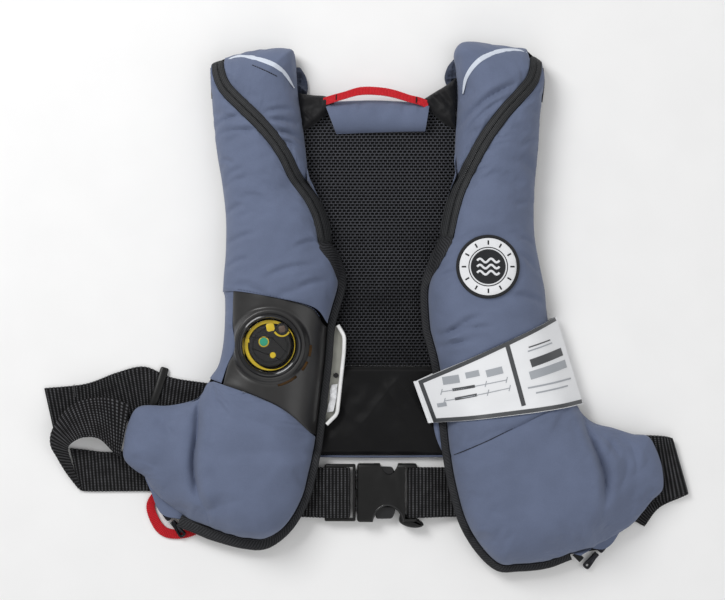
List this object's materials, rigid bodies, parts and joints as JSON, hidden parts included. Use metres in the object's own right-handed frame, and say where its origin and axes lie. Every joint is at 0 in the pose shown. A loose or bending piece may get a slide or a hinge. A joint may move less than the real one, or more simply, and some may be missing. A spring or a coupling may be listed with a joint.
{
  "type": "inflatable life jacket",
  "caption": "Belt-and-lobe inflatable life jacket laid flat: two padded front lobes, mesh back panel, waist belt with side-release buckle, windowed inflator and manual pull loop.",
  "frame": {"origin": "centre of the bounding box in X and Y, at the plane the jacket lies on", "axes": "+X across the jacket to the wearer's left, +Y up to the shoulders, +Z out of the front of the jacket"},
  "size_m": [0.656, 0.5369, 0.055],
  "materials": {
    "slate_fabric": "matt plain-weave polyester",
    "rear_fabric": "matt black polyester",
    "charcoal_tape": "ribbed tape",
    "zip_teeth": "coil",
    "reflective_piping": "silver reflective",
    "bladder_film": "coated film",
    "black_moulding": "satin",
    "clear_window": "clear gloss",
    "yellow_moulding": "satin",
    "dark_cap": "satin",
    "green_indicator": "gloss",
    "plated_steel": "plated",
    "black_mesh": "spacer mesh",
    "black_satin": "satin",
    "red_webbing": "ribbed webbing",
    "black_webbing": "ribbed webbing",
    "black_nickel": "gloss black",
    "patch_cloth": "stitched patch",
    "white_card": "coated card",
    "white_moulding": "satin"
  },
  "bodies": {
    "jacket": {"back_lower_lining": "black_satin", "back_mesh_panel": "black_mesh", "back_yoke": "slate_fabric", "buckle_female": "black_moulding", "card_sleeve": "white_card", "gas_cylinder": "plated_steel", "grab_strap": "red_webbing", "inflator_body": "black_moulding", "inflator_cap": "dark_cap", "inflator_tray": "white_moulding", "left_back_shoulder": "rear_fabric", "left_back_strap": "black_webbing", "left_bladder": "bladder_film", "left_edge_binding": "charcoal_tape", "left_lower_cover": "slate_fabric", "left_neck_cover": "slate_fabric", "left_rear_cover": "rear_fabric", "left_reflective_piping": "reflective_piping", "left_shoulder_lining": "black_satin", "left_side_gusset": "slate_fabric", "left_side_loop": "black_webbing", "left_side_wing": "slate_fabric", "left_upper_cover": "slate_fabric", "left_zip_tape": "charcoal_tape", "left_zip_teeth": "zip_teeth", "oral_tube": "dark_cap", "right_back_shoulder": "rear_fabric", "right_bladder": "bladder_film", "right_edge_binding": "charcoal_tape", "right_front_webbing": "black_webbing", "right_lower_cover": "slate_fabric", "right_neck_cover": "slate_fabric", "right_rear_cover": "rear_fabric", "right_reflective_piping": "reflective_piping", "right_shoulder_lining": "black_satin", "right_side_strap": "black_webbing", "right_side_wing": "slate_fabric", "right_upper_cover": "slate_fabric", "right_zip_tape": "charcoal_tape", "right_zip_teeth": "zip_teeth", "round_patch": "patch_cloth", "status_indicator": "green_indicator", "tray_label": "white_card", "window_lens": "clear_window", "window_panel": "black_moulding", "window_ring": "black_moulding"},
    "male_half": {"buckle_male": "black_moulding", "left_front_webbing": "black_webbing"},
    "lower_prong_arm": {"lower_prong": "black_moulding"},
    "upper_prong_arm": {"upper_prong": "black_moulding"},
    "left_slider": {"left_zip_slider": "black_nickel"},
    "left_tab": {"left_zip_pull": "black_nickel"},
    "right_slider": {"right_zip_slider": "black_nickel"},
    "right_tab": {"right_zip_pull": "black_nickel"},
    "manual_pull": {"pull_loop": "red_webbing"},
    "lever": {"firing_lever": "yellow_moulding"},
    "pin": {"firing_pin": "plated_steel"},
    "locking_ring": {"lock_ring": "yellow_moulding"},
    "keeper": {"strap_keeper": "black_moulding"},
    "oral_cap": {"oral_valve_cap": "red_webbing"}
  },
  "joints": [
    {"name": "buckle_slide", "type": "slide", "parent": "jacket", "child": "male_half", "axis": [-1, 0, 0], "range_m": [0, 0.04], "deforming": ["lower_prong", "upper_prong"]},
    {"name": "lower_prong_hinge", "type": "hinge", "parent": "male_half", "child": "lower_prong_arm", "pos_m": [-0.0085, -0.205, 0.0085], "axis": [0, 0, 1], "range_deg": [0, 8], "stiffness_Nm_per_rad": 0.5},
    {"name": "upper_prong_hinge", "type": "hinge", "parent": "male_half", "child": "upper_prong_arm", "pos_m": [-0.0085, -0.172, 0.0085], "axis": [0, 0, 1], "range_deg": [-8, 0], "stiffness_Nm_per_rad": 0.5},
    {"name": "left_zip_slide", "type": "slide", "parent": "jacket", "child": "left_slider", "axis": [0.9404, -0.3401, 0], "range_m": [0, 0.016]},
    {"name": "right_zip_slide", "type": "slide", "parent": "jacket", "child": "right_slider", "axis": [-0.9371, -0.3489, 0], "range_m": [0, 0.025]},
    {"name": "left_tab_hinge", "type": "hinge", "parent": "left_slider", "child": "left_tab", "pos_m": [-0.1975, -0.218, 0.0046], "axis": [-0.7915, -0.6112, 0], "range_deg": [0, 90]},
    {"name": "right_tab_hinge", "type": "hinge", "parent": "right_slider", "child": "right_tab", "pos_m": [0.2355, -0.2503, 0.0046], "axis": [-0.769, 0.6392, 0], "range_deg": [0, 90]},
    {"name": "pull_slide", "type": "slide", "parent": "jacket", "child": "manual_pull", "axis": [-0.8, -0.6, 0], "range_m": [0, 0.03]},
    {"name": "lever_hinge", "type": "hinge", "parent": "jacket", "child": "lever", "pos_m": [-0.124, -0.027, 0.0255], "axis": [0, 0, 1], "range_deg": [-26, 0]},
    {"name": "pin_slide", "type": "slide", "parent": "jacket", "child": "pin", "axis": [1, 0, 0], "range_m": [0, 0.0027]},
    {"name": "lock_ring_turn", "type": "hinge", "parent": "jacket", "child": "locking_ring", "pos_m": [-0.0955, -0.038, 0.042], "axis": [0, 0, 1], "range_deg": [0, 30]},
    {"name": "keeper_slide", "type": "slide", "parent": "jacket", "child": "keeper", "axis": [0.9508, -0.3099, 0], "range_m": [-0.0045, 0.008]},
    {"name": "oral_cap_slide", "type": "slide", "parent": "jacket", "child": "oral_cap", "axis": [0.2695, -0.9626, -0.0257], "range_m": [0, 0.01]}
  ],
  "couplings": [
    {"joint": "upper_prong_hinge", "follows": "lower_prong_hinge", "ratio": -1},
    {"joint": "lever_hinge", "follows": "pull_slide", "rad_per_m": -14.5},
    {"joint": "pin_slide", "follows": "pull_slide", "ratio": 0.0866}
  ]
}
